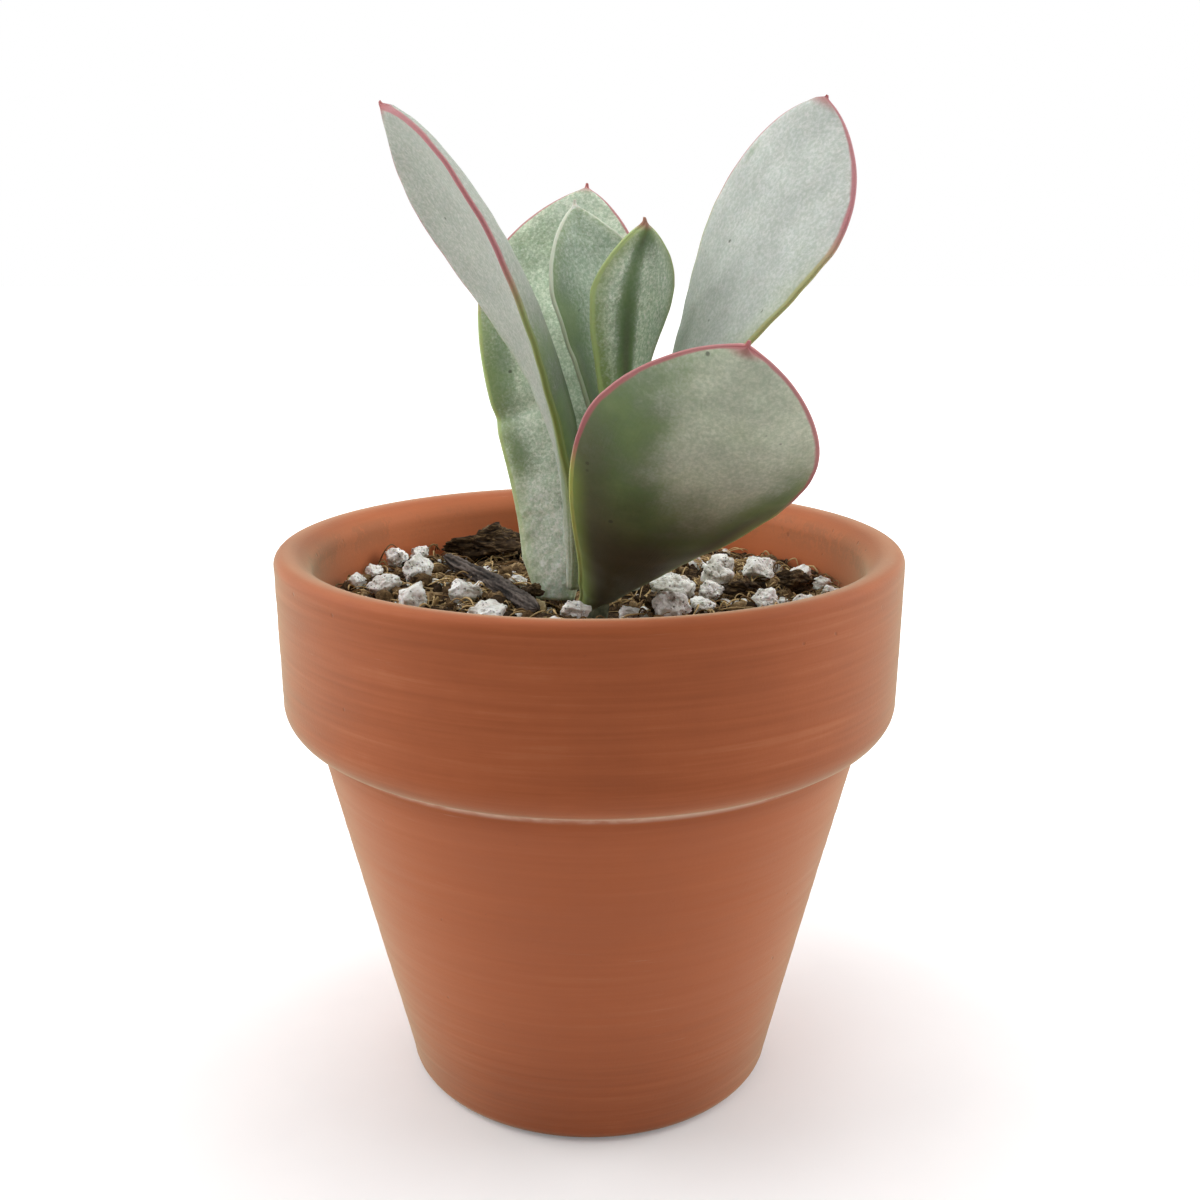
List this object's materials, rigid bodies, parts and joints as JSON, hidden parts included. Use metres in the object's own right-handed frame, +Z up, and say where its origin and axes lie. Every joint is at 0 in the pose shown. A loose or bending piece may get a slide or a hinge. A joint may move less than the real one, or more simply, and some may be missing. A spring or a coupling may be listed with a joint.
{
  "type": "potted succulent",
  "caption": "Small potted succulent with broad, powdery grey-green leaves in a tapered terracotta pot filled with gritty mix.",
  "frame": {"origin": "centre of the pot's underside, on the surface that the pot stands on", "axes": "+Z up along the pot's axis; +X to the right and -Y towards the viewer when the broad front leaf faces the viewer"},
  "size_m": [0.076, 0.076, 0.1196],
  "materials": {
    "terracotta": "matte, unglazed, fine turning streaks",
    "potting_mix": "matte, fibrous and gritty",
    "leaf": "satin flesh under a pale powdery bloom, pink margin",
    "young_leaf": "satin flesh under a thin pale bloom",
    "stem": "matte green stem",
    "perlite": "matte, pitted",
    "bark": "matte, fibrous",
    "grit": "matte, worn",
    "twig": "matte bark"
  },
  "bodies": {
    "root": {"bark_chip": "bark", "bark_large": "bark", "bark_middle": "bark", "bark_nugget": "bark", "bark_right": "bark", "grit_stone": "grit", "growing_tip": "young_leaf", "leaf_back": "leaf", "leaf_front": "leaf", "leaf_inner_left": "leaf", "leaf_inner_right": "leaf", "leaf_left": "leaf", "leaf_right": "leaf", "perlite_01": "perlite", "perlite_02": "perlite", "perlite_03": "perlite", "perlite_04": "perlite", "perlite_05": "perlite", "perlite_06": "perlite", "perlite_07": "perlite", "perlite_08": "perlite", "perlite_09": "perlite", "perlite_10": "perlite", "perlite_11": "perlite", "perlite_12": "perlite", "perlite_13": "perlite", "perlite_14": "perlite", "perlite_15": "perlite", "perlite_16": "perlite", "perlite_17": "perlite", "perlite_18": "perlite", "perlite_19": "perlite", "perlite_20": "perlite", "perlite_21": "perlite", "perlite_22": "perlite", "perlite_23": "perlite", "perlite_24": "perlite", "perlite_25": "perlite", "perlite_26": "perlite", "perlite_27": "perlite", "perlite_28": "perlite", "perlite_29": "perlite", "perlite_30": "perlite", "perlite_31": "perlite", "perlite_32": "perlite", "perlite_33": "perlite", "perlite_34": "perlite", "perlite_35": "perlite", "pot": "terracotta", "soil": "potting_mix", "stem": "stem", "twig": "twig"}
  },
  "joints": []
}
